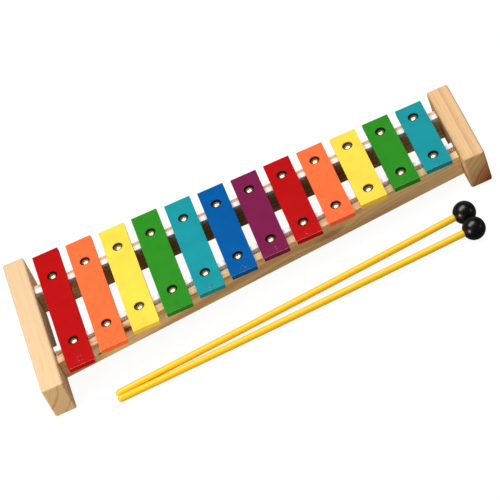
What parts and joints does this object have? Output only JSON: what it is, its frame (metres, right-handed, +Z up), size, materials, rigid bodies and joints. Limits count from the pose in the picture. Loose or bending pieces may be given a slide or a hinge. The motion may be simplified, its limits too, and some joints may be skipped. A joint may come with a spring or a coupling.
{
  "type": "bar percussion instrument",
  "caption": "Tapered table glockenspiel of coloured metal bars screwed over felt-topped wooden rails between two end blocks, with a pair of bead mallets in front.",
  "frame": {"origin": "middle of the footprint of the instrument and its two mallets, on the surface it stands on", "axes": "+X runs along the instrument from the low notes to the high notes, +Y away from the player, +Z up"},
  "size_m": [0.5246, 0.2144, 0.0484],
  "materials": {
    "pine": "satin",
    "pine_batten": "matte",
    "felt": "matte",
    "dowel_beech": "matte",
    "screw_brass": "polished",
    "red_paint": "satin",
    "orange_paint": "satin",
    "yellow_paint": "satin",
    "green_paint": "satin",
    "teal_paint": "satin",
    "blue_paint": "satin",
    "purple_paint": "satin",
    "mallet_stick_yellow": "gloss",
    "mallet_head_black": "gloss"
  },
  "bodies": {
    "frame": {"left_end_block": "pine", "right_end_block": "pine", "front_rail": "pine_batten", "rear_rail": "pine_batten", "front_felt_strip": "felt", "rear_felt_strip": "felt", "dowel_front_left_lower": "dowel_beech", "dowel_front_left_upper": "dowel_beech", "dowel_front_right_lower": "dowel_beech", "dowel_front_right_upper": "dowel_beech", "dowel_rear_left_lower": "dowel_beech", "dowel_rear_left_upper": "dowel_beech", "dowel_rear_right_lower": "dowel_beech", "dowel_rear_right_upper": "dowel_beech", "screw_front_c6": "screw_brass", "screw_front_d6": "screw_brass", "screw_front_e6": "screw_brass", "screw_front_f6": "screw_brass", "screw_front_g6": "screw_brass", "screw_front_a6": "screw_brass", "screw_front_b6": "screw_brass", "screw_front_c7": "screw_brass", "screw_front_d7": "screw_brass", "screw_front_e7": "screw_brass", "screw_front_f7": "screw_brass", "screw_front_g7": "screw_brass", "screw_rear_c6": "screw_brass", "screw_rear_d6": "screw_brass", "screw_rear_e6": "screw_brass", "screw_rear_f6": "screw_brass", "screw_rear_g6": "screw_brass", "screw_rear_a6": "screw_brass", "screw_rear_b6": "screw_brass", "screw_rear_c7": "screw_brass", "screw_rear_d7": "screw_brass", "screw_rear_e7": "screw_brass", "screw_rear_f7": "screw_brass", "screw_rear_g7": "screw_brass"},
    "bar_c6": {"bar_c6": "red_paint"},
    "bar_d6": {"bar_d6": "orange_paint"},
    "bar_e6": {"bar_e6": "yellow_paint"},
    "bar_f6": {"bar_f6": "green_paint"},
    "bar_g6": {"bar_g6": "teal_paint"},
    "bar_a6": {"bar_a6": "blue_paint"},
    "bar_b6": {"bar_b6": "purple_paint"},
    "bar_c7": {"bar_c7": "red_paint"},
    "bar_d7": {"bar_d7": "orange_paint"},
    "bar_e7": {"bar_e7": "yellow_paint"},
    "bar_f7": {"bar_f7": "green_paint"},
    "bar_g7": {"bar_g7": "teal_paint"},
    "mallet_a": {"mallet_a_stick": "mallet_stick_yellow", "mallet_a_head": "mallet_head_black"},
    "mallet_b": {"mallet_b_stick": "mallet_stick_yellow", "mallet_b_head": "mallet_head_black"}
  },
  "joints": [
    {"name": "lift_bar_c6", "type": "slide", "parent": "frame", "child": "bar_c6", "axis": [0, 0, 1], "range_m": [0, 0.0005]},
    {"name": "lift_bar_d6", "type": "slide", "parent": "frame", "child": "bar_d6", "axis": [0, 0, 1], "range_m": [0, 0.0005]},
    {"name": "lift_bar_e6", "type": "slide", "parent": "frame", "child": "bar_e6", "axis": [0, 0, 1], "range_m": [0, 0.0005]},
    {"name": "lift_bar_f6", "type": "slide", "parent": "frame", "child": "bar_f6", "axis": [0, 0, 1], "range_m": [0, 0.0005]},
    {"name": "lift_bar_g6", "type": "slide", "parent": "frame", "child": "bar_g6", "axis": [0, 0, 1], "range_m": [0, 0.0005]},
    {"name": "lift_bar_a6", "type": "slide", "parent": "frame", "child": "bar_a6", "axis": [0, 0, 1], "range_m": [0, 0.0005]},
    {"name": "lift_bar_b6", "type": "slide", "parent": "frame", "child": "bar_b6", "axis": [0, 0, 1], "range_m": [0, 0.0005]},
    {"name": "lift_bar_c7", "type": "slide", "parent": "frame", "child": "bar_c7", "axis": [0, 0, 1], "range_m": [0, 0.0005]},
    {"name": "lift_bar_d7", "type": "slide", "parent": "frame", "child": "bar_d7", "axis": [0, 0, 1], "range_m": [0, 0.0005]},
    {"name": "lift_bar_e7", "type": "slide", "parent": "frame", "child": "bar_e7", "axis": [0, 0, 1], "range_m": [0, 0.0005]},
    {"name": "lift_bar_f7", "type": "slide", "parent": "frame", "child": "bar_f7", "axis": [0, 0, 1], "range_m": [0, 0.0005]},
    {"name": "lift_bar_g7", "type": "slide", "parent": "frame", "child": "bar_g7", "axis": [0, 0, 1], "range_m": [0, 0.0005]},
    {"name": "lift_mallet_a", "type": "slide", "parent": "frame", "child": "mallet_a", "axis": [0, 0, 1], "range_m": [0, 0.2]},
    {"name": "lift_mallet_b", "type": "slide", "parent": "frame", "child": "mallet_b", "axis": [0, 0, 1], "range_m": [0, 0.2]}
  ]
}
